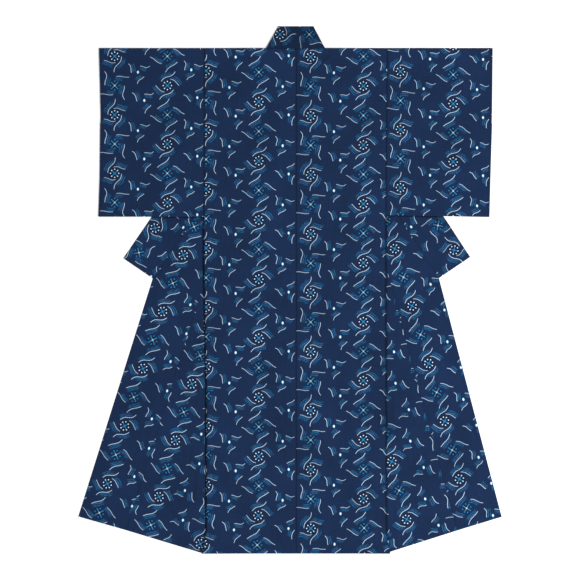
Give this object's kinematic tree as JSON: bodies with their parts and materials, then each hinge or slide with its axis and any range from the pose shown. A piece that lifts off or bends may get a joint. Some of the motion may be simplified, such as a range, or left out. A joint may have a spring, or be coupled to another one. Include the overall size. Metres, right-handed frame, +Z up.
{
  "type": "kasuri kimono",
  "caption": "Unlined cotton kimono laid flat with its back up, sleeves stretched out and both fronts turned out to the sides.",
  "frame": {"origin": "middle of the whole garment as laid, on the surface it rests on", "axes": "+X to the right as seen from above, +Y towards the collar, +Z up out of the surface, the way the garment's back faces"},
  "size_m": [1.3018, 1.6214, 0.0044],
  "materials": {
    "kasuri_cotton": "plain woven indigo cotton with resist-dyed threads, matt with a slight sheen"
  },
  "bodies": {
    "root": {"body_left": "kasuri_cotton", "body_right": "kasuri_cotton", "okumi_left": "kasuri_cotton", "okumi_right": "kasuri_cotton", "sleeve_left": "kasuri_cotton", "sleeve_right": "kasuri_cotton", "collar_left": "kasuri_cotton", "collar_right": "kasuri_cotton", "collar_neck": "kasuri_cotton"}
  },
  "joints": []
}
